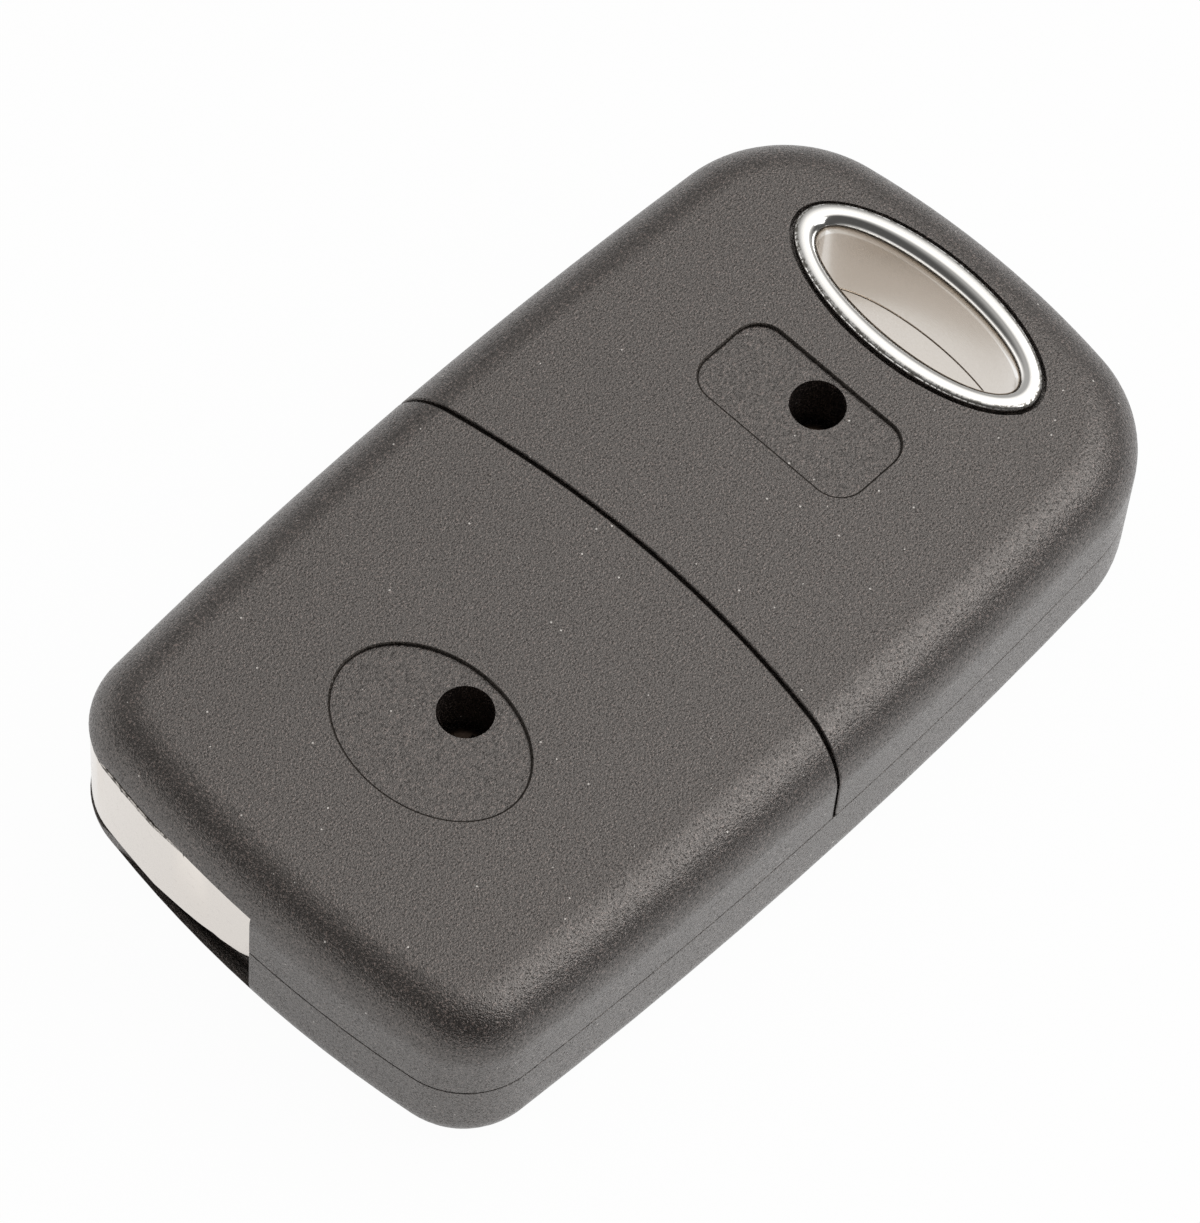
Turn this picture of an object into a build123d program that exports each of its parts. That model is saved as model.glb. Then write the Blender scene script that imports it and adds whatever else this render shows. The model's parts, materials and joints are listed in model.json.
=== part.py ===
from build123d import *
import math
import os

# Folding key fob shell, in millimetres.
# X runs along the fob towards the key-ring eye, Y across it towards the folded blade, Z up.
# The fob lies on its key side at Z = 0, and the origin is under the middle of the body.

# Outline of the body: four shallow bows and four round corners
body_length = 71.0
body_width = 40.0
body_height = 16.0
side_bow_radius = 380.0
pivot_end_bow_radius = 88.0
ring_end_bow_radius = 64.0
pivot_corner_radius = 5.9
ring_corner_radius = 10.2
cover_edge_radius = 4.0
casing_edge_radius = 4.1

# Walls and the parting plane
wall = 1.8
floor_thickness = 1.8
roof_thickness = 1.8
rib_thickness = 1.0
rib_spacing = 6.0
inner_wall = 1.2
parting_above_middle = 0.3
parting_gap = 0.12
lap_inset = 0.95
lap_clearance = 0.08
tongue_height = 0.8
seam_radius = 81.4
seam_crown_x = 0.8
seam_crown_y = -0.7
seam_gap = 0.22
seam_lap = 1.5

# Shallow seats for a badge and a label
recess_depth = 0.25
badge_beyond_screw = 2.7
badge_semi_x = 5.3
badge_semi_y = 7.35
label_before_screw = 1.25
label_length = 7.0
label_width = 14.0
label_corner_radius = 2.0

# Case screws
screw_y = -0.5
pivot_screw_from_pivot = 11.2
remote_screw_from_eye = 10.25
screw_well_radius = 1.93
screw_well_depth = 6.3
screw_head_radius = 1.75
screw_head_height = 1.3
screw_shank_radius = 1.0
screw_tip_gap = 0.4
screw_way_radius = 1.15
screw_pilot_radius = 1.05
screw_pilot_floor = 1.0
boss_radius = 3.0
cross_slot_width = 0.5
cross_slot_length = 2.3
cross_slot_depth = 0.7

# Oval key-ring eye
eye_from_end = 8.35
eye_bore_semi_x = 2.85
eye_bore_semi_y = 8.65
eye_tube_wall = 0.6
eye_flange_semi_x = 4.55
eye_flange_semi_y = 10.53
eye_flange_stands_proud = 0.35
eye_flange_thickness = 1.35
eye_flange_rim = 1.0
eye_flange_step = 0.9
eye_lip_width = 0.35
eye_lip_radius = 0.15
eye_flange_gap = 0.28
eye_tube_gap = 0.1
eye_wall = 0.6
eye_halves_gap = 0.1
eye_edge_radius = 0.35

# Pivot of the folding head
pivot_from_end = 8.1
pivot_from_side = 10.4
hub_radius = 5.6
hub_bore_radius = 4.35
hub_clearance = 0.05
bearing_wall = 1.2
head_radius = 9.3
head_bottom = 4.1
head_below_ceiling = 1.9
head_axial_gap = 0.2
head_inset = 0.1
head_back_reach = 7.55
head_back_radius = 38.0
head_back_straight = 1.6
head_clearance = 0.3
head_edge_radius = 0.3
opening_edge_below = 10.0
opening_below_head = 1.4
opening_above_head = 0.5
rim_relief_inset = 0.7
rim_relief_depth = 0.5

# Blade, folded along the side of the body
blade_width = 7.9
blade_from_side = 0.8
blade_thickness = 2.2
blade_tip_from_end = 15.0
blade_tang = 3.8
blade_point = 4.0
blade_groove_width = 2.0
blade_groove_depth = 0.5
blade_groove_end = 3.0
blade_slot_clearance = 0.05
channel_side_gap = 0.35
channel_face_gap = 0.55
channel_end_gap = 0.5
pin_radius = 0.8
pin_bore_radius = 0.45
pin_slit = 0.4
pin_set_in = 0.3
pin_inset = 1.9
pin_fit = 0.04

# Release button, its spring and the spring's cap
button_face_depth = 0.25
button_cap_radius = 3.85
button_cap_gap = 0.3
button_barrel_radius = 4.3
button_bore_radius = 3.6
button_lift = 0.2
button_floor = 1.2
button_cap_clearance = 0.3
button_travel = 2.0
lug_reach = 5.3
lug_width = 2.0
lug_height = 0.9
lug_gap = 0.15
spring_mean_radius = 3.0
spring_wire_radius = 0.3
spring_turns = 6
spring_end_gap = 0.05
cap_radius = 3.9
cap_thickness = 1.3
cap_stub_radius = 2.2
cap_stub_length = 1.3
cap_key_side = 3.0
cap_key_height = 0.6
cap_key_gap = 0.05

# Keys, membrane and board tray
key_count = 3
key_spacing = 1.5
key_width = 12.0
key_corner_radius = 1.8
key_y = -2.0
key_face_depth = 0.25
key_gap = 0.2
key_flange = 0.5
key_flange_lift = 0.05
key_flange_thickness = 0.6
key_travel = 0.4
key_face_radius = 0.4
pad_over_key_gap = 0.15
pad_thickness = 0.8
pad_skirt = 0.8
pad_margin = 0.5
dome_radius = 2.0
dome_top_radius = 1.4
dome_height = 0.7
tray_boss_gap = 0.55
tray_from_side = 4.4
tray_partition_gap = 0.45
tray_wall = 1.0
tray_corner_radius = 1.5
tray_over_dome_gap = 0.2
tray_pad_gap = 0.1
tray_top_gap = 0.3
dome_window_gap = 0.3

# Sizes that follow from the ones above
parting_height = body_height / 2 + parting_above_middle
casing_top = parting_height - parting_gap / 2
cover_bottom = parting_height + parting_gap / 2
ceiling = body_height - roof_thickness
eye_x = body_length / 2 - eye_from_end
pivot_x = pivot_from_end - body_length / 2
pivot_y = body_width / 2 - pivot_from_side
pivot_screw_x = pivot_x + pivot_screw_from_pivot
remote_screw_x = eye_x - remote_screw_from_eye
badge_x = pivot_screw_x - badge_beyond_screw
label_x = remote_screw_x - label_before_screw
screw_well_floor = body_height - screw_well_depth
screw_pilot_bottom = floor_thickness + screw_pilot_floor
screw_length = screw_well_floor - screw_pilot_bottom - screw_tip_gap
head_top = ceiling - head_below_ceiling
head_middle = (head_bottom + head_top) / 2
tube_semi_x = eye_bore_semi_x + eye_tube_wall
tube_semi_y = eye_bore_semi_y + eye_tube_wall
flange_seat = body_height + eye_flange_stands_proud - eye_flange_thickness
lip_height = flange_seat + eye_flange_thickness - eye_flange_step
lower_flange_face = 2 * parting_height - body_height - eye_flange_stands_proud
opening_edge_y = pivot_y - opening_edge_below
opening_bottom = head_bottom - opening_below_head
opening_top = head_top + opening_above_head
opening_inner_x = pivot_x - hub_radius - hub_clearance - bearing_wall
head_bow_radius = pivot_end_bow_radius - head_inset
head_behind_bow = pivot_from_end - head_back_reach - head_inset
head_back_tangent_y = math.sqrt(head_bow_radius**2 - (head_bow_radius - head_behind_bow)**2) - head_back_straight
sweep_radius = math.hypot(
    head_radius, head_back_reach - head_back_radius + math.sqrt(
        head_back_radius**2 - (head_back_tangent_y - pivot_y + head_radius)**2)
) + head_clearance
head_front_x = pivot_x + head_radius
head_back_x = pivot_x - head_back_reach
tang_end_x = head_front_x - blade_tang
blade_tip_x = body_length / 2 - blade_tip_from_end
blade_high_y = body_width / 2 - blade_from_side
blade_low_y = blade_high_y - blade_width
channel_low_y = blade_low_y - channel_side_gap
channel_bottom = head_middle - blade_thickness / 2 - channel_face_gap
channel_top = head_middle + blade_thickness / 2 + channel_face_gap
channel_end_x = blade_tip_x + channel_end_gap
pin_x = head_front_x - pin_inset
pin_y = (blade_low_y + blade_high_y) / 2
button_seat = floor_thickness + button_lift
spring_bottom = button_seat + button_floor + spring_end_gap
cap_underside = ceiling - cap_thickness
button_barrel_height = cap_underside - button_seat - button_travel - button_cap_clearance
spring_top = cap_underside - spring_end_gap
tray_low_x = pivot_screw_x + boss_radius + tray_boss_gap
tray_high_x = remote_screw_x - boss_radius - tray_boss_gap
tray_low_y = tray_from_side - body_width / 2
tray_high_y = channel_low_y - inner_wall - tray_partition_gap
tray_length = tray_high_x - tray_low_x
tray_width = tray_high_y - tray_low_y
key_middle_x = (tray_low_x + tray_high_x) / 2
pad_length = tray_length - 2 * tray_pad_gap
pad_width = key_width + 2 * (key_flange + pad_margin + pad_skirt)
key_row = pad_length - 2 * (key_flange + pad_margin + pad_skirt)
key_length = (key_row - (key_count - 1) * key_spacing) / key_count
key_pitch = key_length + key_spacing
key_flange_bottom = floor_thickness + key_flange_lift
key_flange_top = key_flange_bottom + key_flange_thickness
pad_underside = key_flange_top + key_travel + pad_over_key_gap
pad_top = pad_underside + pad_thickness
tray_floor = pad_top + dome_height + tray_over_dome_gap
outer_reach = body_width


def outline_face(inset):
    """The body's outline seen from above, moved inwards by inset."""
    with BuildSketch(mode=Mode.PRIVATE) as face:
        with Locations((0, body_width / 2 - side_bow_radius)):
            Circle(side_bow_radius - inset)
        with Locations((0, side_bow_radius - body_width / 2)):
            Circle(side_bow_radius - inset, mode=Mode.INTERSECT)
        with Locations((pivot_end_bow_radius - body_length / 2, 0)):
            Circle(pivot_end_bow_radius - inset, mode=Mode.INTERSECT)
        with Locations((body_length / 2 - ring_end_bow_radius, 0)):
            Circle(ring_end_bow_radius - inset, mode=Mode.INTERSECT)
        fillet(face.vertices().group_by(Axis.X)[0], pivot_corner_radius - inset)
        fillet(face.vertices().group_by(Axis.X)[-1], ring_corner_radius - inset)
    return face.sketch


def head_face(outset=0.0):
    """The folding head seen from above, at rest, moved outwards by outset and not yet trimmed to the body."""
    back_radius = head_back_radius + outset
    low_y = pivot_y - head_radius - outset
    back_turn = math.degrees(math.asin((head_back_tangent_y - low_y) / back_radius))
    back_low_x = head_back_x + head_back_radius - back_radius * math.cos(math.radians(back_turn))
    with BuildSketch(mode=Mode.PRIVATE) as face:
        with BuildLine():
            Line((back_low_x, low_y), (pivot_x, low_y))
            CenterArc((pivot_x, pivot_y), head_radius + outset, -90, 90)
            Polyline(
                (head_front_x + outset, pivot_y),
                (head_front_x + outset, outer_reach),
                (head_back_x - outset, outer_reach),
                (head_back_x - outset, head_back_tangent_y),
            )
            CenterArc((head_back_x + head_back_radius, head_back_tangent_y), back_radius, 180, back_turn)
        make_face()
    return face.sketch


def seam_face(beyond=0.0):
    """Everything on the pivot side of the arched seam, moved towards the eye by beyond."""
    with BuildSketch(mode=Mode.PRIVATE) as face:
        with Locations((seam_crown_x - seam_radius, seam_crown_y)):
            Circle(seam_radius + beyond)
    return face.sketch


# Core of the lower half: the hollow inside the front casing, before its ribs and bosses
with BuildPart() as casing_core:
    with BuildSketch(Plane.XY.offset(floor_thickness)):
        add(outline_face(wall))
    extrude(amount=casing_top - floor_thickness)
    fillet(casing_core.edges().group_by(Axis.Z)[0], casing_edge_radius - wall)

# Core of the upper half, at the inner face of the walls
with BuildPart() as cover_core:
    with BuildSketch(Plane.XY.offset(cover_bottom)):
        add(outline_face(wall))
    extrude(amount=ceiling - cover_bottom)
    fillet(cover_core.edges().group_by(Axis.Z)[-1], cover_edge_radius - wall)

# Core of the upper half at the middle of the wall, where the two covers lap
with BuildPart() as lap_core:
    with BuildSketch(Plane.XY.offset(cover_bottom)):
        add(outline_face(lap_inset))
    extrude(amount=body_height - lap_inset - cover_bottom)
    fillet(lap_core.edges().group_by(Axis.Z)[-1], cover_edge_radius - lap_inset)

# The same, with the lap's clearance, for the rebate in the remote cover
with BuildPart() as rebate_core:
    with BuildSketch(Plane.XY.offset(cover_bottom)):
        add(outline_face(lap_inset - lap_clearance))
    extrude(amount=body_height - lap_inset + lap_clearance - cover_bottom)
    fillet(rebate_core.edges().group_by(Axis.Z)[-1], cover_edge_radius - lap_inset)

# Space that the head needs: its place at rest, its sweep, and the open corner of the body
with BuildSketch() as head_space:
    with Locations((pivot_x, pivot_y)):
        Circle(sweep_radius)
    add(outline_face(wall), mode=Mode.INTERSECT)
    add(head_face(head_clearance))
    with BuildLine():
        Polyline(
            (pivot_x, opening_edge_y),
            (pivot_x, outer_reach),
            (-body_length, outer_reach),
            (-body_length, opening_edge_y),
            close=True,
        )
    make_face()

# Open corner of the body, beyond the bearing ring of the hub
with BuildSketch() as corner_opening:
    with BuildLine():
        Polyline(
            (opening_inner_x, opening_edge_y),
            (opening_inner_x, outer_reach),
            (-body_length, outer_reach),
            (-body_length, opening_edge_y),
            close=True,
        )
    make_face()

# Space for the folded blade, open to the side of the body
with BuildSketch() as channel_space:
    with BuildLine():
        Polyline(
            (pivot_x, channel_low_y),
            (channel_end_x, channel_low_y),
            (channel_end_x, outer_reach),
            (pivot_x, outer_reach),
            close=True,
        )
    make_face()

# Partition round the head's sweep and along the blade channel
with BuildSketch() as partition:
    with Locations((pivot_x, pivot_y)):
        Circle(sweep_radius + inner_wall)
    with BuildLine():
        Polyline(
            (pivot_x, channel_low_y - inner_wall),
            (channel_end_x + inner_wall, channel_low_y - inner_wall),
            (channel_end_x + inner_wall, outer_reach),
            (pivot_x, outer_reach),
            close=True,
        )
    make_face()
    with Locations((pivot_x, pivot_y)):
        Circle(sweep_radius, mode=Mode.SUBTRACT)
    add(channel_space.sketch, mode=Mode.SUBTRACT)
    add(head_face(head_clearance), mode=Mode.SUBTRACT)
    add(outline_face(wall), mode=Mode.INTERSECT)

# Cross ribs under and over the blade
rib_count = int((channel_end_x - head_front_x) // rib_spacing)
rib_pitch = (channel_end_x - head_front_x) / rib_count
with BuildSketch() as blade_ribs:
    for index in range(1, rib_count):
        with BuildLine():
            rib_x = head_front_x + index * rib_pitch
            Polyline(
                (rib_x - rib_thickness / 2, channel_low_y - rib_thickness),
                (rib_x + rib_thickness / 2, channel_low_y - rib_thickness),
                (rib_x + rib_thickness / 2, outer_reach),
                (rib_x - rib_thickness / 2, outer_reach),
                close=True,
            )
        make_face()
    add(outline_face(wall), mode=Mode.INTERSECT)

# Ribs that stiffen the remote screw's boss
with BuildSketch() as boss_ribs:
    with BuildLine():
        Polyline(
            (remote_screw_x, screw_y - rib_thickness / 2),
            (eye_x, screw_y - rib_thickness / 2),
            (eye_x, screw_y + rib_thickness / 2),
            (remote_screw_x, screw_y + rib_thickness / 2),
            close=True,
        )
    make_face()
    with BuildLine():
        Polyline(
            (remote_screw_x - rib_thickness / 2, -outer_reach),
            (remote_screw_x + rib_thickness / 2, -outer_reach),
            (remote_screw_x + rib_thickness / 2, channel_low_y),
            (remote_screw_x - rib_thickness / 2, channel_low_y),
            close=True,
        )
    make_face()
    add(outline_face(wall), mode=Mode.INTERSECT)

# Wall round the key-ring eye
with BuildSketch() as eye_surround:
    with Locations((eye_x, 0)):
        Ellipse(eye_flange_semi_x + eye_flange_gap + eye_wall, eye_flange_semi_y + eye_flange_gap + eye_wall)
    add(outline_face(wall / 2), mode=Mode.INTERSECT)

key_places = [(key_middle_x + (index - (key_count - 1) / 2) * key_pitch, key_y) for index in range(key_count)]

# Front casing: the one-piece half on the key side
with BuildPart() as front_casing:
    with BuildSketch():
        add(outline_face(0))
    extrude(amount=casing_top)
    fillet(front_casing.edges().group_by(Axis.Z)[0], casing_edge_radius)
    add(casing_core.part, mode=Mode.SUBTRACT)
    # tongue that the covers sit over
    with BuildSketch(Plane.XY.offset(casing_top)):
        add(outline_face(lap_inset + lap_clearance))
        add(outline_face(wall - lap_clearance), mode=Mode.SUBTRACT)
    extrude(amount=tongue_height)
    # partition, ribs, bosses and the wall round the eye
    with BuildSketch(Plane.XY.offset(floor_thickness)):
        add(partition.sketch)
        with Locations((pivot_screw_x, screw_y), (remote_screw_x, screw_y)):
            Circle(boss_radius)
        add(eye_surround.sketch)
    extrude(amount=casing_top - floor_thickness)
    with BuildSketch(Plane.XY.offset(floor_thickness)):
        add(blade_ribs.sketch)
    extrude(amount=channel_bottom - floor_thickness)
    with BuildSketch(Plane.XY.offset(floor_thickness)):
        add(boss_ribs.sketch)
    extrude(amount=(casing_top - floor_thickness) / 2)
    # bearing ring for the head's hub
    with BuildSketch(Plane.XY.offset(floor_thickness)):
        with Locations((pivot_x, pivot_y)):
            Circle(hub_radius + hub_clearance + bearing_wall)
    extrude(amount=head_bottom - head_axial_gap - floor_thickness)
    with BuildSketch(Plane.XY.offset(floor_thickness)):
        with Locations((pivot_x, pivot_y)):
            Circle(hub_radius + hub_clearance)
    extrude(amount=casing_top - floor_thickness, mode=Mode.SUBTRACT)
    # open corner for the head, thinned behind its rim
    with BuildSketch(Plane.XY.offset(head_bottom - head_axial_gap)):
        add(head_space.sketch)
    extrude(amount=body_height, mode=Mode.SUBTRACT)
    with BuildSketch(Plane.XY.offset(opening_bottom)):
        add(corner_opening.sketch)
    extrude(amount=body_height, mode=Mode.SUBTRACT)
    with BuildSketch(Plane.XY.offset(opening_bottom - rim_relief_depth)):
        add(corner_opening.sketch)
        add(outline_face(rim_relief_inset), mode=Mode.INTERSECT)
    extrude(amount=body_height, mode=Mode.SUBTRACT)
    # slot in the side for the blade
    with BuildSketch(Plane.XY.offset(channel_bottom)):
        add(channel_space.sketch)
    extrude(amount=body_height, mode=Mode.SUBTRACT)
    # key openings, release button opening, screw pilots and the eye
    with BuildSketch():
        with Locations(*key_places):
            RectangleRounded(key_length + 2 * key_gap, key_width + 2 * key_gap, key_corner_radius + key_gap)
        with Locations((pivot_x, pivot_y)):
            Circle(button_cap_radius + button_cap_gap)
    extrude(amount=floor_thickness, mode=Mode.SUBTRACT)
    with BuildSketch(Plane.XY.offset(casing_top)):
        with Locations((pivot_screw_x, screw_y), (remote_screw_x, screw_y)):
            Circle(screw_pilot_radius)
    extrude(amount=screw_pilot_bottom - casing_top, mode=Mode.SUBTRACT)
    with BuildSketch():
        with Locations((eye_x, 0)):
            Ellipse(tube_semi_x + eye_tube_gap, tube_semi_y + eye_tube_gap)
    extrude(amount=body_height, mode=Mode.SUBTRACT)
    with BuildSketch():
        with Locations((eye_x, 0)):
            Ellipse(eye_flange_semi_x + eye_flange_gap, eye_flange_semi_y + eye_flange_gap)
    extrude(amount=lower_flange_face + eye_flange_thickness, mode=Mode.SUBTRACT)
front_casing.part.label = "front_casing"


# Outer shell that both covers are cut from, hollow and open below
with BuildPart() as cover_shell:
    with BuildSketch(Plane.XY.offset(cover_bottom)):
        add(outline_face(0))
    extrude(amount=body_height - cover_bottom)
    fillet(cover_shell.edges().group_by(Axis.Z)[-1], cover_edge_radius)
    add(cover_core.part, mode=Mode.SUBTRACT)
    with BuildSketch(Plane.XY.offset(cover_bottom)):
        add(outline_face(lap_inset))
    extrude(amount=tongue_height + lap_clearance, mode=Mode.SUBTRACT)


def cover_inside(sketch, height):
    """One group of inner walls that hang from the ceiling, clipped to the hollow."""
    with BuildPart(mode=Mode.PRIVATE) as walls:
        with BuildSketch(Plane.XY.offset(ceiling)):
            add(sketch)
            add(outline_face(wall), mode=Mode.INTERSECT)
        extrude(amount=-height)
    return walls.part


# Pivot cover: the rear cover over the folding head
with BuildPart() as pivot_cover:
    add(cover_shell.part)
    add(cover_inside(partition.sketch, ceiling - cover_bottom))
    add(cover_inside(blade_ribs.sketch, ceiling - channel_top))
    with BuildSketch(Plane.XY.offset(cover_bottom)):
        with Locations((pivot_screw_x, screw_y)):
            Circle(boss_radius)
    extrude(amount=ceiling - cover_bottom)
    # bearing ring for the head's hub, and the pocket of the spring cap
    with BuildSketch(Plane.XY.offset(ceiling)):
        with Locations((pivot_x, pivot_y)):
            Circle(hub_radius + hub_clearance + bearing_wall)
    extrude(amount=-(ceiling - head_top - head_axial_gap))
    with BuildSketch(Plane.XY.offset(ceiling)):
        with Locations((pivot_x, pivot_y)):
            Circle(hub_radius + hub_clearance)
    extrude(amount=-(ceiling - cover_bottom), mode=Mode.SUBTRACT)
    with BuildSketch(Plane.XY.offset(ceiling)):
        with Locations((pivot_x, pivot_y)):
            Rectangle(cap_key_side + 2 * cap_key_gap, cap_key_side + 2 * cap_key_gap)
    extrude(amount=cap_key_height + cap_key_gap, mode=Mode.SUBTRACT)
    # open corner for the head, and the slot for the blade
    with BuildSketch(Plane.XY.offset(head_top + head_axial_gap)):
        add(head_space.sketch)
    extrude(amount=-body_height, mode=Mode.SUBTRACT)
    with BuildSketch(Plane.XY.offset(opening_top)):
        add(corner_opening.sketch)
    extrude(amount=-body_height, mode=Mode.SUBTRACT)
    with BuildSketch(Plane.XY.offset(channel_top)):
        add(channel_space.sketch)
    extrude(amount=-body_height, mode=Mode.SUBTRACT)
    # badge seat and screw well
    with BuildSketch(Plane.XY.offset(body_height)):
        with Locations((badge_x, 0)):
            Ellipse(badge_semi_x, badge_semi_y)
    extrude(amount=-recess_depth, mode=Mode.SUBTRACT)
    with BuildSketch(Plane.XY.offset(screw_well_floor)):
        with Locations((pivot_screw_x, screw_y)):
            Circle(screw_well_radius)
    extrude(amount=body_height, mode=Mode.SUBTRACT)
    with BuildSketch():
        with Locations((pivot_screw_x, screw_y)):
            Circle(screw_way_radius)
    extrude(amount=body_height, mode=Mode.SUBTRACT)
    # end of the cover at the seam, with the tongue that laps under the other cover
    with BuildSketch(Plane.XY):
        add(seam_face(-seam_gap / 2))
    extrude(amount=2 * body_height, mode=Mode.INTERSECT)

with BuildPart() as lap_tongue:
    add(lap_core.part)
    add(cover_core.part, mode=Mode.SUBTRACT)
    with BuildSketch(Plane.XY):
        add(seam_face(seam_lap))
        add(seam_face(-seam_gap / 2), mode=Mode.SUBTRACT)
    extrude(amount=2 * body_height, mode=Mode.INTERSECT)
    with BuildSketch(Plane.XY):
        add(outline_face(0))
    extrude(amount=cover_bottom + tongue_height + lap_clearance, mode=Mode.SUBTRACT)
    with BuildSketch(Plane.XY.offset(channel_top)):
        add(channel_space.sketch)
    extrude(amount=-body_height, mode=Mode.SUBTRACT)

with BuildPart() as pivot_cover_whole:
    add(pivot_cover.part)
    add(lap_tongue.part)
pivot_cover_whole.part.label = "pivot_cover"

# Remote cover: the rear cover over the board, with the key-ring eye
with BuildPart() as remote_cover:
    add(cover_shell.part)
    add(cover_inside(partition.sketch, ceiling - cover_bottom))
    add(cover_inside(blade_ribs.sketch, ceiling - channel_top))
    add(cover_inside(boss_ribs.sketch, (ceiling - cover_bottom) / 2))
    add(cover_inside(eye_surround.sketch, ceiling - cover_bottom))
    with BuildSketch(Plane.XY.offset(cover_bottom)):
        with Locations((remote_screw_x, screw_y)):
            Circle(boss_radius)
    extrude(amount=ceiling - cover_bottom)
    with BuildSketch(Plane.XY.offset(channel_top)):
        add(channel_space.sketch)
    extrude(amount=-body_height, mode=Mode.SUBTRACT)
    # label seat and screw well
    with BuildSketch(Plane.XY.offset(body_height)):
        with Locations((label_x, 0)):
            RectangleRounded(label_length, label_width, label_corner_radius)
    extrude(amount=-recess_depth, mode=Mode.SUBTRACT)
    with BuildSketch(Plane.XY.offset(screw_well_floor)):
        with Locations((remote_screw_x, screw_y)):
            Circle(screw_well_radius)
    extrude(amount=body_height, mode=Mode.SUBTRACT)
    with BuildSketch():
        with Locations((remote_screw_x, screw_y)):
            Circle(screw_way_radius)
    extrude(amount=body_height, mode=Mode.SUBTRACT)
    # seat of the eye
    with BuildSketch():
        with Locations((eye_x, 0)):
            Ellipse(tube_semi_x + eye_tube_gap, tube_semi_y + eye_tube_gap)
    extrude(amount=2 * body_height, mode=Mode.SUBTRACT)
    with BuildSketch(Plane.XY.offset(flange_seat)):
        with Locations((eye_x, 0)):
            Ellipse(eye_flange_semi_x + eye_flange_gap, eye_flange_semi_y + eye_flange_gap)
    extrude(amount=body_height, mode=Mode.SUBTRACT)
    # end of the cover at the seam, rebated for the other cover's tongue
    with BuildSketch(Plane.XY):
        add(seam_face(seam_gap / 2))
    extrude(amount=2 * body_height, mode=Mode.SUBTRACT)
with BuildPart() as lap_rebate:
    add(rebate_core.part)
    with BuildSketch(Plane.XY):
        add(seam_face(seam_lap + seam_gap))
    extrude(amount=2 * body_height, mode=Mode.INTERSECT)
with BuildPart() as remote_cover_whole:
    add(remote_cover.part)
    add(lap_rebate.part, mode=Mode.SUBTRACT)
remote_cover_whole.part.label = "remote_cover"


def eye_half():
    """Upper half of the eye: an oval tube with a stepped, rounded flange on top."""
    with BuildPart(mode=Mode.PRIVATE) as half:
        with BuildSketch(Plane.XY.offset(parting_height + eye_halves_gap / 2)):
            with Locations((eye_x, 0)):
                Ellipse(tube_semi_x, tube_semi_y)
        extrude(amount=flange_seat - parting_height - eye_halves_gap / 2)
        with BuildSketch(Plane.XY.offset(flange_seat)):
            with Locations((eye_x, 0)):
                Ellipse(eye_flange_semi_x, eye_flange_semi_y)
        extrude(amount=eye_flange_thickness)
        # the rim slopes in to a lip round the bore
        with BuildSketch(Plane.XY.offset(flange_seat + eye_flange_thickness)):
            with Locations((eye_x, 0)):
                Ellipse(eye_flange_semi_x - eye_flange_rim, eye_flange_semi_y - eye_flange_rim)
        with BuildSketch(Plane.XY.offset(lip_height)):
            with Locations((eye_x, 0)):
                Ellipse(eye_bore_semi_x + eye_lip_width, eye_bore_semi_y + eye_lip_width)
        loft(mode=Mode.SUBTRACT)
        with BuildSketch():
            with Locations((eye_x, 0)):
                Ellipse(eye_bore_semi_x, eye_bore_semi_y)
        extrude(amount=2 * body_height, mode=Mode.SUBTRACT)
        fillet(half.edges().group_by(Axis.Z)[-1], eye_edge_radius)
        lip_edge = half.edges().filter_by_position(Axis.Z, lip_height, lip_height).sort_by(Edge.length)[0]
        fillet(lip_edge, eye_lip_radius)
    return half.part


# Key-ring eye: two plated halves that meet at the parting plane
with BuildPart() as ring_upper:
    add(eye_half())
ring_upper.part.label = "ring_upper"

with BuildPart() as ring_lower:
    add(mirror(eye_half(), about=Plane.XY.offset(parting_height), mode=Mode.PRIVATE))
ring_lower.part.label = "ring_lower"

# Folding head: a block on a hub, with the blade's slot and the release button's bore
with BuildPart() as blade_head:
    with BuildSketch(Plane.XY.offset(head_bottom)):
        add(head_face())
        add(outline_face(head_inset), mode=Mode.INTERSECT)
    extrude(amount=head_top - head_bottom)
    fillet(blade_head.edges().group_by(Axis.Z)[0] + blade_head.edges().group_by(Axis.Z)[-1], head_edge_radius)
    with BuildSketch(Plane.XY.offset(floor_thickness + head_clearance)):
        with Locations((pivot_x, pivot_y)):
            Circle(hub_radius)
    extrude(amount=ceiling - floor_thickness - 2 * head_clearance)
    with BuildSketch():
        with Locations((pivot_x, pivot_y)):
            Circle(hub_bore_radius)
    extrude(amount=body_height, mode=Mode.SUBTRACT)
    # ways for the button's lugs
    with BuildSketch(Plane.XY.offset(floor_thickness)):
        with Locations((pivot_x, pivot_y)):
            Rectangle(lug_width + 2 * lug_gap, 2 * (hub_radius + lug_gap))
    extrude(amount=button_lift + lug_height + button_travel + head_clearance, mode=Mode.SUBTRACT)
    # slot for the blade's tang, and the pin's hole
    with BuildSketch(Plane.XY.offset(head_middle - blade_thickness / 2 - blade_slot_clearance)):
        with BuildLine():
            Polyline(
                (tang_end_x - blade_slot_clearance, blade_low_y - blade_slot_clearance),
                (outer_reach, blade_low_y - blade_slot_clearance),
                (outer_reach, blade_high_y + blade_slot_clearance),
                (tang_end_x - blade_slot_clearance, blade_high_y + blade_slot_clearance),
                close=True,
            )
        make_face()
    extrude(amount=blade_thickness + 2 * blade_slot_clearance, mode=Mode.SUBTRACT)
    with BuildSketch():
        with Locations((pin_x, pin_y)):
            Circle(pin_radius + pin_fit)
    extrude(amount=body_height, mode=Mode.SUBTRACT)
blade_head.part.label = "blade_head"

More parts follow.
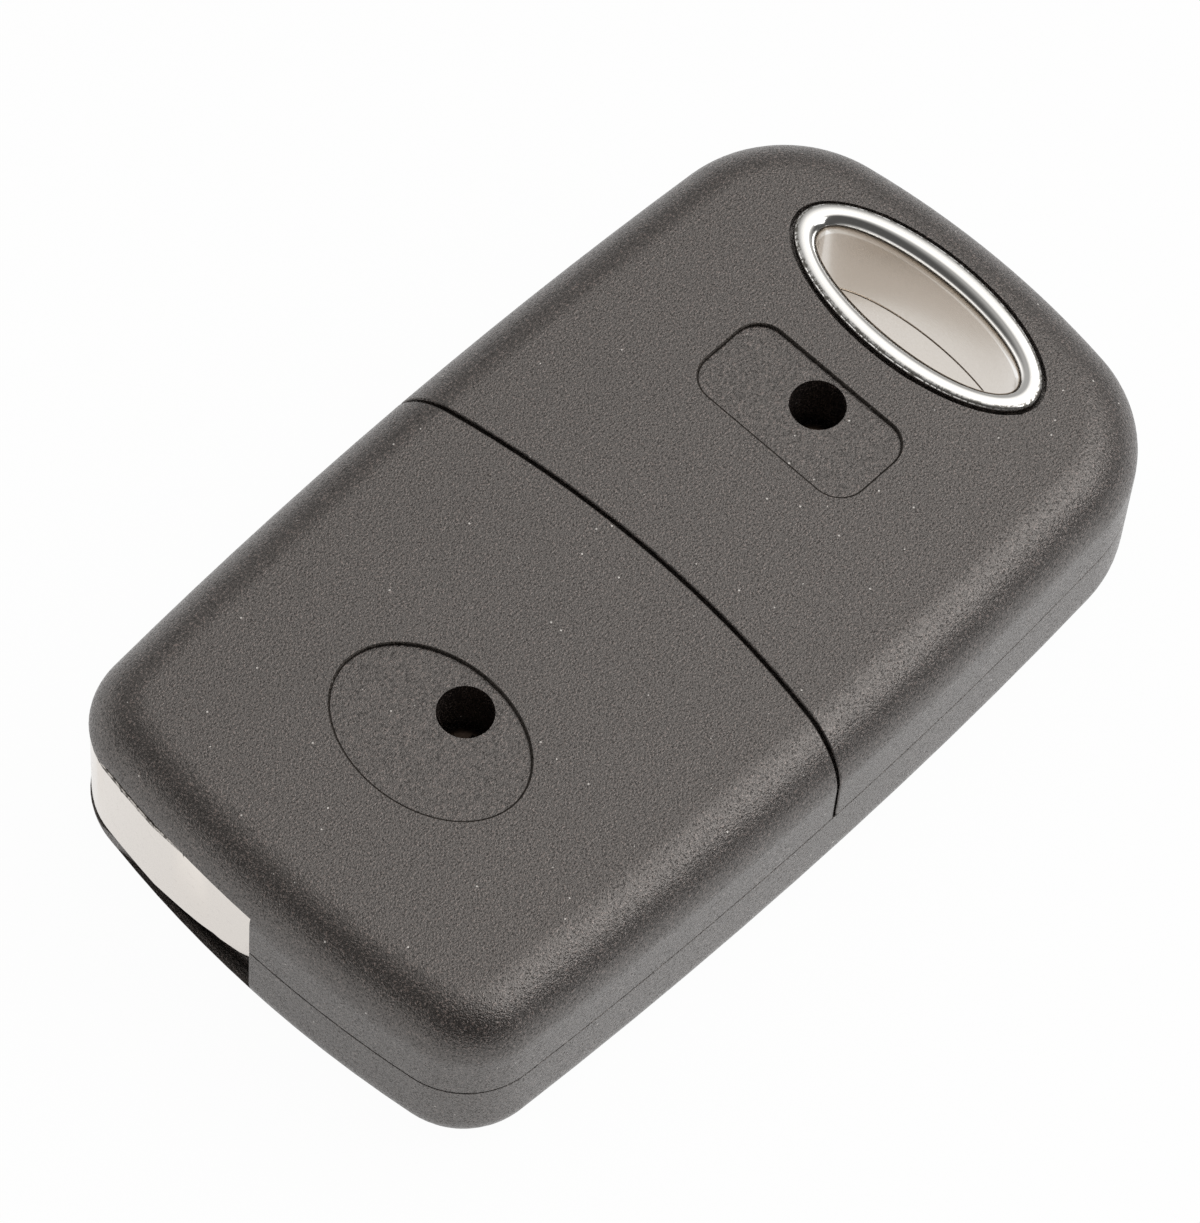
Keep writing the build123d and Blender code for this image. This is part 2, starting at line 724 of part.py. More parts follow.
# Blade: an uncut blank with a long groove in each face and a pointed tip
with BuildPart() as key_blade:
    with BuildSketch(Plane.XY.offset(head_middle - blade_thickness / 2)):
        with BuildLine():
            Polyline(
                (tang_end_x, blade_low_y),
                (blade_tip_x - blade_point, blade_low_y),
                (blade_tip_x, pin_y - blade_groove_width / 2),
                (blade_tip_x, pin_y + blade_groove_width / 2),
                (blade_tip_x - blade_point, blade_high_y),
                (tang_end_x, blade_high_y),
                close=True,
            )
        make_face()
    extrude(amount=blade_thickness)
    chamfer(key_blade.edges().filter_by(Axis.X).filter_by(lambda e: e.length > blade_point), blade_thickness / 8)
    for face_height, depth in (
        (head_middle + blade_thickness / 2, -blade_groove_depth),
        (head_middle - blade_thickness / 2, blade_groove_depth),
    ):
        with BuildSketch(Plane.XY.offset(face_height)):
            with BuildLine():
                Polyline(
                    (head_front_x + blade_groove_end, pin_y - blade_groove_width / 2),
                    (blade_tip_x, pin_y - blade_groove_width / 2),
                    (blade_tip_x, pin_y + blade_groove_width / 2),
                    (head_front_x + blade_groove_end, pin_y + blade_groove_width / 2),
                    close=True,
                )
            make_face()
        extrude(amount=depth, mode=Mode.SUBTRACT)
    with BuildSketch():
        with Locations((pin_x, pin_y)):
            Circle(pin_radius + pin_fit)
    extrude(amount=body_height, mode=Mode.SUBTRACT)
key_blade.part.label = "key_blade"

# Roll pin through the head and the blade's tang
with BuildPart() as blade_pin:
    with BuildSketch(Plane.XY.offset(head_bottom + pin_set_in)):
        with Locations((pin_x, pin_y)):
            Circle(pin_radius)
            Circle(pin_bore_radius, mode=Mode.SUBTRACT)
        with Locations((pin_x + pin_radius, pin_y)):
            Rectangle(2 * pin_radius, pin_slit, mode=Mode.SUBTRACT)
    extrude(amount=head_top - head_bottom - 2 * pin_set_in)
blade_pin.part.label = "blade_pin"

# Release button: a cap, a hollow barrel that slides in the head, and two lugs
with BuildPart() as release_button:
    with BuildSketch(Plane.XY.offset(button_face_depth)):
        with Locations((pivot_x, pivot_y)):
            Circle(button_cap_radius)
    extrude(amount=button_seat - button_face_depth)
    fillet(release_button.edges().group_by(Axis.Z)[0], key_face_radius)
    with BuildSketch(Plane.XY.offset(button_seat)):
        with Locations((pivot_x, pivot_y)):
            Circle(button_barrel_radius)
    extrude(amount=button_barrel_height)
    with BuildSketch(Plane.XY.offset(button_seat)):
        with Locations((pivot_x, pivot_y)):
            Rectangle(lug_width, 2 * lug_reach)
    extrude(amount=lug_height)
    with BuildSketch(Plane.XY.offset(button_seat + button_floor)):
        with Locations((pivot_x, pivot_y)):
            Circle(button_bore_radius)
    extrude(amount=body_height, mode=Mode.SUBTRACT)
release_button.part.label = "release_button"

# Hub spring: a round wire wound round the pivot axis
spring_pitch = (spring_top - spring_bottom - 2 * spring_wire_radius) / spring_turns
with BuildPart() as hub_spring:
    with BuildLine(Plane((pivot_x, pivot_y, spring_bottom + spring_wire_radius))) as coil:
        Helix(spring_pitch, spring_pitch * spring_turns, spring_mean_radius)
    with BuildSketch(Plane(origin=coil.line @ 0, z_dir=coil.line % 0)):
        Circle(spring_wire_radius)
    sweep(path=coil.line, is_frenet=True)
hub_spring.part.label = "hub_spring"

# Spring cap: keyed into the pivot cover, with a stub that centres the spring
with BuildPart() as spring_cap:
    with BuildSketch(Plane.XY.offset(cap_underside)):
        with Locations((pivot_x, pivot_y)):
            Circle(cap_radius)
    extrude(amount=cap_thickness)
    with BuildSketch(Plane.XY.offset(cap_underside)):
        with Locations((pivot_x, pivot_y)):
            Circle(cap_stub_radius)
    extrude(amount=-cap_stub_length)
    with BuildSketch(Plane.XY.offset(ceiling)):
        with Locations((pivot_x, pivot_y)):
            Rectangle(cap_key_side, cap_key_side)
    extrude(amount=cap_key_height)
spring_cap.part.label = "spring_cap"


def case_screw(x):
    """Pan-headed tapping screw with a cross recess, seated in a cover's well."""
    with BuildPart(mode=Mode.PRIVATE) as screw:
        with BuildSketch(Plane.XY.offset(screw_well_floor)):
            with Locations((x, screw_y)):
                Circle(screw_head_radius)
        extrude(amount=screw_head_height)
        fillet(screw.edges().group_by(Axis.Z)[-1], screw_head_height / 2)
        with BuildSketch(Plane.XY.offset(screw_well_floor)):
            with Locations((x, screw_y)):
                Circle(screw_shank_radius)
        extrude(amount=-screw_length)
        chamfer(screw.edges().group_by(Axis.Z)[0], screw_shank_radius / 2)
        with BuildSketch(Plane.XY.offset(screw_well_floor + screw_head_height)):
            with Locations((x, screw_y)):
                Rectangle(cross_slot_length, cross_slot_width)
                Rectangle(cross_slot_width, cross_slot_length)
        extrude(amount=-cross_slot_depth, mode=Mode.SUBTRACT)
    return screw.part


with BuildPart() as pivot_cover_screw:
    add(case_screw(pivot_screw_x))
pivot_cover_screw.part.label = "pivot_cover_screw"

with BuildPart() as remote_cover_screw:
    add(case_screw(remote_screw_x))
remote_cover_screw.part.label = "remote_cover_screw"

# Keys: caps that pass through the casing floor, each with a flange inside
keys = []
for key_name, place in zip(("lock_key", "unlock_key", "boot_key"), key_places):
    with BuildPart() as key:
        with BuildSketch(Plane.XY.offset(key_face_depth)):
            with Locations(place):
                RectangleRounded(key_length, key_width, key_corner_radius)
        extrude(amount=key_flange_bottom - key_face_depth)
        fillet(key.edges().group_by(Axis.Z)[0], key_face_radius)
        with BuildSketch(Plane.XY.offset(key_flange_bottom)):
            with Locations(place):
                RectangleRounded(
                    key_length + 2 * key_flange, key_width + 2 * key_flange, key_corner_radius + key_flange
                )
        extrude(amount=key_flange_thickness)
    key.part.label = key_name
    keys.append(key.part)

# Membrane: a sheet on a skirt round the keys, with a dome over each
with BuildPart() as button_pad:
    with BuildSketch(Plane.XY.offset(floor_thickness)):
        with Locations((key_middle_x, key_y)):
            RectangleRounded(pad_length, pad_width, key_corner_radius)
    extrude(amount=pad_top - floor_thickness)
    with BuildSketch(Plane.XY.offset(floor_thickness)):
        with Locations((key_middle_x, key_y)):
            RectangleRounded(pad_length - 2 * pad_skirt, pad_width - 2 * pad_skirt, key_corner_radius - pad_skirt / 2)
    extrude(amount=pad_underside - floor_thickness, mode=Mode.SUBTRACT)
    for place in key_places:
        with BuildSketch(Plane.XY.offset(pad_top)):
            with Locations(place):
                Circle(dome_radius)
        with BuildSketch(Plane.XY.offset(pad_top + dome_height)):
            with Locations(place):
                Circle(dome_top_radius)
        loft()
button_pad.part.label = "button_pad"

# Board tray: a floor over the membrane between two storeys of wall
tray_centre = (key_middle_x, (tray_low_y + tray_high_y) / 2)
tray_top = ceiling - tray_top_gap
with BuildPart() as board_tray:
    with BuildSketch(Plane.XY.offset(floor_thickness)):
        with Locations(tray_centre):
            RectangleRounded(tray_length, tray_width, tray_corner_radius)
    extrude(amount=tray_top - floor_thickness)
    with BuildSketch(Plane.XY.offset(floor_thickness)):
        with Locations(tray_centre):
            Rectangle(tray_length - 2 * tray_wall, tray_width - 2 * tray_wall)
    extrude(amount=tray_floor - floor_thickness, mode=Mode.SUBTRACT)
    with BuildSketch(Plane.XY.offset(floor_thickness)):
        with Locations((key_middle_x, key_y)):
            Rectangle(pad_length + 2 * tray_pad_gap, pad_width + 2 * tray_pad_gap)
    extrude(amount=pad_top - floor_thickness, mode=Mode.SUBTRACT)
    with BuildSketch(Plane.XY.offset(tray_floor + tray_wall)):
        with Locations(tray_centre):
            Rectangle(tray_length - 2 * tray_wall, tray_width - 2 * tray_wall)
    extrude(amount=body_height, mode=Mode.SUBTRACT)
    with BuildSketch(Plane.XY.offset(tray_floor)):
        with Locations(*key_places):
            Circle(dome_radius + dome_window_gap)
    extrude(amount=tray_wall, mode=Mode.SUBTRACT)
board_tray.part.label = "board_tray"

finished = [
    front_casing.part,
    pivot_cover_whole.part,
    remote_cover_whole.part,
    ring_upper.part,
    ring_lower.part,
    blade_head.part,
    key_blade.part,
    blade_pin.part,
    release_button.part,
    hub_spring.part,
    spring_cap.part,
    pivot_cover_screw.part,
    remote_cover_screw.part,
    button_pad.part,
    board_tray.part,
] + keys

os.makedirs("parts", exist_ok=True)
for piece in finished:
    export_step(piece, "parts/" + piece.label + ".step")
    print(piece.label, "solids", len(piece.solids()), "volume", round(piece.volume, 2))
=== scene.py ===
import json
import math

import bpy
from mathutils import Matrix, Vector


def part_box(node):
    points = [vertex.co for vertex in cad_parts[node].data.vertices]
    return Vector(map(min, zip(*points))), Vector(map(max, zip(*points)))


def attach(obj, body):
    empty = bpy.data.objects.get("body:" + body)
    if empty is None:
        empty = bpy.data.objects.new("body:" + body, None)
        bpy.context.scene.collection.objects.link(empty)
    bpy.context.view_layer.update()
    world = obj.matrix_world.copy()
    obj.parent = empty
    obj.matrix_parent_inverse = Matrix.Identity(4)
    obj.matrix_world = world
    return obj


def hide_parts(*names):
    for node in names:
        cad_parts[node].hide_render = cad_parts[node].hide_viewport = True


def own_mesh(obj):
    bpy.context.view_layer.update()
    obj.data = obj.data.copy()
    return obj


# Folding key fob shell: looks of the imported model, in metres.
# X runs along the fob towards the key-ring eye, Y across it towards the folded blade, Z up.
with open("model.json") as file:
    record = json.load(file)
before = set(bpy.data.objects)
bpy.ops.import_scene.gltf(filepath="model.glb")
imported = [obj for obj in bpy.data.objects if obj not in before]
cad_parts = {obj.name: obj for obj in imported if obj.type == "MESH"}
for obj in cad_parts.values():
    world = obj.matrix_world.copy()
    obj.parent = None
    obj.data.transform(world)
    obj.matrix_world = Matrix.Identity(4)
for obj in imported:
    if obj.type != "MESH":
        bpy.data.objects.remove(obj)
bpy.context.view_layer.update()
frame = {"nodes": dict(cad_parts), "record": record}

MM = 0.001
IMAGE_HEIGHT = 1223

# Camera, solved from the fob's plan in the photograph
CAMERA_TARGET = (-4.80 * MM, -1.45 * MM, 16.0 * MM)
CAMERA_AZIMUTH = -140.938
CAMERA_ELEVATION = 59.972
CAMERA_ROLL = -5.728
CAMERA_DISTANCE = 432.32 * MM
CAMERA_FOCUS_PIXELS = 6688.9
CAMERA_NEAR = 10.0 * MM
SENSOR = 36.0

# Surround of the studio: a broad pale dome high on the far side, its brighter core,
# and a band of light along the horizon
DOME_DIRECTION = (45, 50)
DOME_REACH = (75, 48)
DOME_LEVEL = 0.32
CORE_DIRECTION = (-14, 66)
CORE_REACH = (45, 14)
CORE_LEVEL = 0.85
BAND_AZIMUTH = 110
BAND_HEIGHT = (0.1, 0.4)
BAND_LEVEL = 1.2
DIM_LEVEL = 0.08
SURROUND_TINT = (1.0, 0.985, 0.965)

# Floor: its size and level, and how much of it is plain white where it is seen,
# mirrored near the pivot end and beyond it, and seen through something
FLOOR_SIZE = 3.0
FLOOR_LEVEL = -0.02 * MM
FLOOR_SEEN = 0.97
FLOOR_MIRRORED = 0.64
FLOOR_MIRRORED_BEYOND = 0.36
FLOOR_THROUGH = 0.8

# Angles between faces over which an edge is rounded, and over which it is shaded sharp
ROUNDED_ANGLE = math.radians(35)
SHARP_ANGLE = math.radians(32)

# Outside of the covers: their top face, the seats for a badge and a label,
# the arched seam between them, and how near to each of them an edge belongs to it
BODY_TOP = 16.0 * MM
LEVEL_MARGIN = 0.02 * MM
SEAT_MARGIN = 0.1 * MM
SEAM_MARGIN = 0.2 * MM
SEATS = (
    ((-18.9 * MM, 0.0), (5.3 * MM, 7.35 * MM)),
    ((15.65 * MM, 0.0), (3.5 * MM, 7.0 * MM)),
)
SEAM_RADIUS = 81.4 * MM
SEAM_CENTRE = (0.8 * MM - SEAM_RADIUS, -0.7 * MM)

# Key-ring eye: the bore, the tube and flange round it, the groove where the halves meet,
# how far from the bore the eye covers the housing, and the rim's section.
# Each point of the rim says, in mm, how far it lies inside the flange's edge and under its face.
EYE_CENTRE = 27.15 * MM
EYE_BORE = (2.85 * MM, 8.65 * MM)
EYE_TUBE_WALL = 0.6 * MM
EYE_FLANGE = 1.35 * MM
EYE_FLANGE_CHAMFER = 0.1 * MM
EYE_GROOVE_DEPTH = 0.14 * MM
EYE_GROOVE_HEIGHT = 0.08 * MM
EYE_COVERED = 1.3 * MM
EYE_SIDES = 192
EYE_RIM = (
    (0.0, 0.46), (0.02, 0.3), (0.07, 0.17), (0.17, 0.08), (0.32, 0.025), (0.55, 0.0),
    (0.78, 0.0), (0.9, 0.015), (1.0, 0.05), (1.1, 0.105), (1.22, 0.19), (1.34, 0.29),
    (1.44, 0.39), (1.52, 0.49), (1.58, 0.6), (1.63, 0.75), (1.68, 1.0), (1.7, 1.3),
)


def direction(azimuth, elevation):
    """Unit vector towards a place in the studio, angles in degrees."""
    azimuth = math.radians(azimuth)
    elevation = math.radians(elevation)
    return Vector((
        math.cos(elevation) * math.cos(azimuth),
        math.cos(elevation) * math.sin(azimuth),
        math.sin(elevation),
    ))


def shaded(colour, share):
    """An opaque colour with each channel times share."""
    return tuple(min(1.0, channel * share) for channel in colour) + (1,)


class Wire:
    """A value on its way through a node tree: arithmetic on it adds Math nodes."""

    def __init__(self, nodes, socket):
        self.nodes = nodes
        self.socket = socket

    def math(self, operation, *values):
        return self.nodes.node("ShaderNodeMath", {"operation": operation}, dict(enumerate(values)))

    def __add__(self, other):
        return self.math("ADD", self, other)

    __radd__ = __add__

    def __sub__(self, other):
        return self.math("SUBTRACT", self, other)

    def __rsub__(self, other):
        return self.math("SUBTRACT", other, self)

    def __mul__(self, other):
        return self.math("MULTIPLY", self, other)

    __rmul__ = __mul__

    def above(self, low, high):
        """0 under low, 1 over high, smooth between."""
        settings = {"interpolation_type": "SMOOTHSTEP"}
        values = {"Value": self, "From Min": low, "From Max": high}
        return self.nodes.node("ShaderNodeMapRange", settings, values)


class Nodes:
    """A node tree, and the one way in which its nodes are made."""

    def __init__(self, tree):
        self.tree = tree

    def node(self, kind, settings=None, values=None, output=0):
        made = self.tree.nodes.new(kind)
        for name, value in (settings or {}).items():
            setattr(made, name, value)
        for name, value in (values or {}).items():
            self.feed(made.inputs[name], value)
        return Wire(self, made.outputs[output])

    def feed(self, socket, value):
        if isinstance(value, Wire):
            self.tree.links.new(value.socket, socket)
        else:
            socket.default_value = value

    def mix(self, factor, first, second):
        """Colour between first and second."""
        values = {"Factor": factor, 6: first, 7: second}
        return self.node("ShaderNodeMix", {"data_type": "RGBA"}, values, output=2)


class Finish(Nodes):
    """One material: its nodes, and the Principled surface that they feed."""

    def __init__(self, name, constants):
        self.material = bpy.data.materials.new(name)
        self.material.use_nodes = True
        super().__init__(self.material.node_tree)
        self.surface = self.tree.nodes["Principled BSDF"]
        for socket, value in constants.items():
            self.surface.inputs[socket].default_value = value

    def set(self, name, value):
        self.feed(self.surface.inputs[name], value)

    def place(self):
        return self.node("ShaderNodeTexCoord", output="Object")

    def noise(self, size, detail=2.0, roughness=0.5, where=None):
        """Noise with features of about size metres."""
        values = {"Vector": where or self.place(), "Scale": 1 / size}
        values.update({"Detail": detail, "Roughness": roughness})
        return self.node("ShaderNodeTexNoise", None, values)

    def bump(self, height, distance):
        """Relief in which a height of 1 stands distance metres proud."""
        values = {"Height": height, "Distance": distance, "Strength": 1.0}
        return self.node("ShaderNodeBump", None, values)

    def attribute(self, name):
        """A mesh's own value of this name, such as how much painted shade darkens its edges."""
        return self.node("ShaderNodeAttribute", {"attribute_name": name}, output=2)


# Moulded plastic: the sizes of its grain, the shares of its colour for the painted highlights on
# its crests and the painted shade in its pits, its specks, and the painted shade along its edges
GRAIN_SIZE = 0.16 * MM
FINE_GRAIN_SIZE = 0.09 * MM
CLOUD_SIZE = 9.0 * MM
CREST_HIGHLIGHT_SHARE = 17.0
PIT_SHADE_SHARE = 0.35
SPECK_SPACING = 1.6 * MM
SPECK_COLOUR = (0.75, 0.72, 0.68, 1)
EDGE_SHADE_COLOUR = (0.02, 0.017, 0.014, 1)
PLASTIC_SURFACE = {"IOR": 1.68, "Specular IOR Level": 1.0, "Specular Tint": (1.0, 0.94, 0.9, 1)}

# Plating: the size of its ripple, and its colours for the painted shade on its edges, the painted
# dark reflections flecked at the eye's rim and the painted shade down the bore
RIPPLE_SIZE = 2.2 * MM
CHROME_SHADE_COLOUR = (0.04, 0.036, 0.032, 1)
RIM_REFLECTION_COLOUR = (0.16, 0.15, 0.13, 1)
BORE_SHADE_COLOUR = (0.66, 0.61, 0.555, 1)


def moulded_plastic(name, colour, grain_height, contrast=1.0):
    """Plastic with a fine spark-eroded grain: painted shade in its pits, painted highlights on its
    crests, scattered specks and painted shade on marked edges.
    """
    finish = Finish(name, PLASTIC_SURFACE)
    grain = finish.noise(GRAIN_SIZE, 2.0, 0.7)
    fine = finish.noise(FINE_GRAIN_SIZE, 1.0, 0.5)
    cloud = finish.noise(CLOUD_SIZE, 2.0, 0.5)
    relief = grain * 0.65 + fine * 0.35
    crest = relief.above(0.54, 0.62)
    pit = 1 - relief.above(0.38, 0.48)
    # the pale colour is a painted highlight on the grain's crests; the deep one is painted shade
    # in its pits and also the darker tone of random clouds
    pale = shaded(colour, CREST_HIGHLIGHT_SHARE)
    deep = shaded(colour, PIT_SHADE_SHARE)
    shade = finish.mix(pit * (0.9 * contrast), colour + (1,), deep)
    shade = finish.mix(crest * (0.8 * contrast), shade, pale)
    shade = finish.mix(cloud.above(0.3, 0.7) * 0.16, shade, deep)
    # one speck lies at the heart of each scattered cell, apart from a few cells
    where = {"Vector": finish.place(), "Scale": 1 / SPECK_SPACING, "Randomness": 1.0}
    near = finish.node("ShaderNodeTexVoronoi", None, where)
    cell = finish.node("ShaderNodeTexVoronoi", None, where, output=1)
    lot = finish.node("ShaderNodeSeparateXYZ", None, {0: cell})
    speck = (1 - near.above(0.03, 0.055)) * lot.above(0.12, 0.14)
    shade = finish.mix(speck, shade, SPECK_COLOUR)
    # painted shade where the marks say, along the seat rims and the seam
    edge_shade = finish.attribute("painted_shade") * (0.6 + relief.above(0.3, 0.6) * 0.25)
    finish.set("Base Color", finish.mix(edge_shade, shade, EDGE_SHADE_COLOUR))
    # metallic deepens the painted shade on the marked edges and in the pits
    finish.set("Metallic", edge_shade + pit * (0.48 * contrast))
    grained = pit * (0.2 * contrast) + crest * (-0.06 * contrast)
    finish.set("Roughness", grained + edge_shade * 0.2 + 0.27)
    finish.set("Normal", finish.bump(relief, grain_height))
    return finish.material


def plated(name, colour, roughness, ripple, flecks):
    """Bright plating: a faint ripple, dull flecks of worn plating, and painted shade on marked
    edges.
    """
    finish = Finish(name, {"Metallic": 1.0})
    wave = finish.noise(RIPPLE_SIZE, 2.0, 0.5)
    fine = finish.noise(0.25 * MM, 2.0, 0.6)
    worn = finish.noise(0.6 * MM, 3.0, 0.65).above(0.56, 0.7)
    shade = finish.mix(worn * flecks, colour + (1,), shaded(colour, 0.8))
    jagged = finish.noise(0.35 * MM, 3.0, 0.7).above(0.46, 0.56)
    # painted shade on the marked edges, broken up by noise, for the dark gap under the cover's lip
    chrome_edge_shade = finish.attribute("painted_shade") * (jagged * 0.4 + 0.5)
    finish.set("Base Color", finish.mix(chrome_edge_shade, shade, CHROME_SHADE_COLOUR))
    finish.set("Roughness", fine * 0.05 + worn * (0.25 * flecks) + roughness)
    finish.set("Normal", finish.bump(wave * 0.8 + fine * 0.2, ripple))
    return finish.material


def eye_plating(name, colour):
    """Bright plating of the eye: clean on the rim, with painted dark reflections flecked at its
    edge and painted shade down the bore.
    """
    finish = Finish(name, {"Metallic": 1.0})
    inward = finish.attribute("inward")
    wave = finish.noise(RIPPLE_SIZE, 2.0, 0.5)
    fine = finish.noise(0.16 * MM, 3.0, 0.65)
    ragged = finish.noise(0.35 * MM, 3.0, 0.7)
    edge = inward + ragged * 0.5
    # a ragged band near the rim's edge is darkened as a painted dark reflection
    rim_reflection = edge.above(0.3, 0.36) * (1 - edge.above(0.5, 0.62)) * ragged.above(0.44, 0.54)
    # down the bore the plating is darkened and dulled as painted shade
    bore = inward.above(1.62, 1.9)
    shade = finish.mix(rim_reflection * 0.9, colour + (1,), RIM_REFLECTION_COLOUR)
    shade = finish.mix(bore * (fine.above(0.3, 0.7) * 0.12 + 0.88), shade, BORE_SHADE_COLOUR)
    finish.set("Base Color", shade)
    finish.set("Roughness", fine * 0.06 + rim_reflection * 0.3 + bore * 0.1 + 0.11)
    finish.set("Normal", finish.bump(wave * 0.8 + fine * 0.2, 0.005 * MM))
    return finish.material


def brushed_steel(name, colour, roughness):
    """Ground steel: fine lines along the blade."""
    finish = Finish(name, {"Metallic": 1.0})
    along_blade = {"Vector": finish.place(), "Scale": (0.04, 1.0, 1.0)}
    stretched = finish.node("ShaderNodeMapping", None, along_blade)
    lines = finish.noise(0.08 * MM, 3.0, 0.6, where=stretched)
    cloud = finish.noise(3.0 * MM, 2.0, 0.5)
    dull = shaded(colour, 0.72)
    finish.set("Base Color", finish.mix(lines.above(0.35, 0.7), dull, colour + (1,)))
    finish.set("Roughness", lines * 0.18 + cloud * 0.1 + roughness)
    finish.set("Normal", finish.bump(lines, 0.003 * MM))
    return finish.material


def soft_rubber(name, colour, roughness):
    """Silicone or soft plastic with a faint mottle."""
    finish = Finish(name, {"Specular IOR Level": 0.4})
    mottle = finish.noise(0.4 * MM, 3.0, 0.6)
    dull = shaded(colour, 0.8)
    finish.set("Base Color", finish.mix(mottle.above(0.3, 0.7), dull, colour + (1,)))
    finish.set("Roughness", mottle * 0.15 + roughness)
    finish.set("Normal", finish.bump(mottle, 0.006 * MM))
    return finish.material


casing_plastic = moulded_plastic("casing_plastic", (0.013, 0.01, 0.009), 0.08 * MM)
tray_plastic = moulded_plastic("tray_plastic", (0.03, 0.029, 0.028), 0.012 * MM, 0.2)
cap_plastic = moulded_plastic("cap_plastic", (0.02, 0.02, 0.02), 0.008 * MM, 0.2)
eye_chrome = eye_plating("eye_chrome", (0.93, 0.92, 0.9))
head_chrome = plated("head_chrome", (0.93, 0.875, 0.82), 0.12, 0.004 * MM, 0.2)
button_chrome = plated("button_chrome", (0.86, 0.85, 0.83), 0.08, 0.003 * MM, 0.3)
blade_steel = brushed_steel("blade_steel", (0.62, 0.61, 0.59), 0.22)
small_steel = brushed_steel("small_steel", (0.5, 0.49, 0.47), 0.3)
# the case screws' steel is darkened as painted shade, for the shade deep in their wells
screw_steel = brushed_steel("screw_steel", (0.16, 0.115, 0.09), 0.35)
key_rubber = soft_rubber("key_rubber", (0.03, 0.03, 0.031), 0.55)
membrane_silicone = soft_rubber("membrane_silicone", (0.12, 0.12, 0.12), 0.5)


bodies = frame["record"]["behaviour"]["bodies"]
joints = frame["record"]["behaviour"]["joints"]
node_body = {node: body for body, nodes in bodies.items() for node in nodes}


def alone(piece):
    """Leaves only this piece selected, and makes it active."""
    bpy.ops.object.select_all(action="DESELECT")
    piece.select_set(True)
    bpy.context.view_layer.objects.active = piece


def finished(piece, node, material):
    """Gives a piece its finish, puts it on the body that it rides on and hides the node that it
    stands for.
    """
    piece.data.materials.clear()
    piece.data.materials.append(material)
    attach(piece, node_body[node])
    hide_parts(node)
    return piece


def copy_of(node, name):
    """A new piece with its own copy of a node's mesh."""
    piece = bpy.data.objects.new(name, frame["nodes"][node].data.copy())
    bpy.context.scene.collection.objects.link(piece)
    return piece


def middle_of(low, high):
    """Place in X and Y of the middle between two corners."""
    return (low.x + high.x) / 2, (low.y + high.y) / 2


def in_sight(piece, middle, sides):
    """Whether an edge sticks out, clear of its own piece, and can be seen from outside the fob.

    Each of its two sides is a face's normal and the way from the edge into that face."""
    (first, _), (second, into_second) = sides
    if into_second.dot(first) > -0.05:
        return False
    both = first + second
    start = middle + both * (0.02 * MM)
    ways = (first, second, both.normalized())
    if any(piece.ray_cast(start, way)[0] for way in ways):
        return False
    whole = bpy.context.evaluated_depsgraph_get()
    return not all(bpy.context.scene.ray_cast(whole, start, way)[0] for way in ways)


def round_edges(piece, wanted, radius, steps, painted_shade):
    """Rounds a piece's sharp edges that are in sight and wanted, and marks how much painted shade
    darkens them.

    wanted is given an edge's middle and its two sides, as in_sight has them."""
    alone(piece)
    bpy.ops.object.mode_set(mode="EDIT")
    bpy.ops.mesh.select_mode(type="EDGE")
    bpy.ops.mesh.select_all(action="DESELECT")
    bpy.ops.mesh.edges_select_sharp(sharpness=ROUNDED_ANGLE)
    bpy.ops.object.mode_set(mode="OBJECT")
    mesh = piece.data
    sides = {}
    for face in mesh.polygons:
        corners = list(face.vertices)
        for start, end in zip(corners, corners[1:] + corners[:1]):
            run = mesh.vertices[end].co - mesh.vertices[start].co
            side = (face.normal.copy(), face.normal.cross(run).normalized())
            sides.setdefault((min(start, end), max(start, end)), []).append(side)
    chosen = []
    for edge in mesh.edges:
        both = sides.get(edge.key, [])
        if edge.select and len(both) == 2:
            start, end = (mesh.vertices[corner].co for corner in edge.vertices)
            middle = (start + end) / 2
            if wanted(middle, both) and in_sight(piece, middle, both):
                chosen.append(edge.index)
    for kind in (mesh.vertices, mesh.edges, mesh.polygons):
        kind.foreach_set("select", [False] * len(kind))
    for index in chosen:
        mesh.edges[index].select = True
    bpy.ops.object.mode_set(mode="EDIT")
    bpy.ops.mesh.bevel(
        offset=radius, offset_type="OFFSET", segments=steps, affect="EDGES", clamp_overlap=False
    )
    bpy.ops.object.mode_set(mode="OBJECT")
    marks = mesh.attributes.get("painted_shade") or mesh.attributes.new("painted_shade", "FLOAT", "FACE")
    for face in mesh.polygons:
        if face.select:
            marks.data[face.index].value = painted_shade


def at_seat(middle, sides):
    """The rims of the two shallow seats."""
    for (x, y), (half_x, half_y) in SEATS:
        along = abs(middle.x - x) < half_x + SEAT_MARGIN
        across = abs(middle.y - y) < half_y + SEAT_MARGIN
        if along and across and abs(middle.z - BODY_TOP) < LEVEL_MARGIN:
            return True
    return False


def at_seam(middle, sides):
    """The covers' edges along the arched seam."""
    from_centre = math.hypot(middle.x - SEAM_CENTRE[0], middle.y - SEAM_CENTRE[1])
    faces_up = min(normal.z for normal, _ in sides) > -0.3
    return abs(from_centre - SEAM_RADIUS) < SEAM_MARGIN and faces_up


def clear_of_eye(middle, sides):
    """All edges but those that the plated eye covers."""
    across, along = EYE_BORE[0] + EYE_COVERED, EYE_BORE[1] + EYE_COVERED
    return math.hypot((middle.x - EYE_CENTRE) / across, middle.y / along) > 1.0


